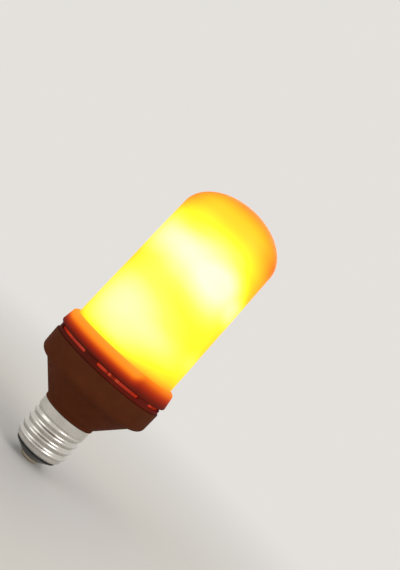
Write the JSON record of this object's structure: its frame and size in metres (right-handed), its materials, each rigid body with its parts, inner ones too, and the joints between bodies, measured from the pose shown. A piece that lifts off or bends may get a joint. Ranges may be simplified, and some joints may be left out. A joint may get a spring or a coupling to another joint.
{
  "type": "flame effect led bulb",
  "caption": "Screw-cap LED bulb: tall milky diffuser with a domed tip, flared vented collar and a cone-based housing over a rolled LED core.",
  "frame": {"origin": "the middle of the centre contact's flat end", "axes": "+Z along the bulb's axis, from the screw cap to the tip of the diffuser; -Y faces the picture's camera"},
  "size_m": [0.0616, 0.0616, 0.1502],
  "materials": {
    "contact_metal": "tinned",
    "insulator": "black glass",
    "shell_metal": "nickel plate",
    "housing_plastic": "satin moulded",
    "collar_plastic": "satin moulded",
    "diffuser_plastic": "milky",
    "core_plastic": "moulded",
    "led_sheet": "white solder mask",
    "screw_steel": "zinc plate",
    "circuit_board": "solder mask",
    "capacitor_sleeve": "shrink sleeve",
    "ferrite": "matt",
    "line_capacitor": "moulded",
    "chip_epoxy": "moulded epoxy",
    "resistor_enamel": "enamel",
    "wire_red": "insulation",
    "wire_black": "insulation",
    "wire_yellow": "insulation"
  },
  "bodies": {
    "root": {"centre_contact": "contact_metal", "cap_insulator": "insulator", "screw_shell": "shell_metal", "housing": "housing_plastic", "collar_ring": "collar_plastic", "diffuser": "diffuser_plastic", "led_core": "core_plastic", "core_cap": "core_plastic", "led_sheet": "led_sheet", "core_screw_1": "screw_steel", "core_screw_2": "screw_steel", "core_screw_3": "screw_steel", "driver_board": "circuit_board", "filter_capacitor": "capacitor_sleeve", "choke": "ferrite", "line_capacitor": "line_capacitor", "bridge_rectifier": "chip_epoxy", "control_chip": "chip_epoxy", "regulator_chip": "chip_epoxy", "fuse_resistor": "resistor_enamel", "live_wire": "wire_red", "neutral_wire": "wire_black", "led_lead_1": "wire_red", "led_lead_2": "wire_yellow", "led_lead_3": "wire_black"}
  },
  "joints": []
}
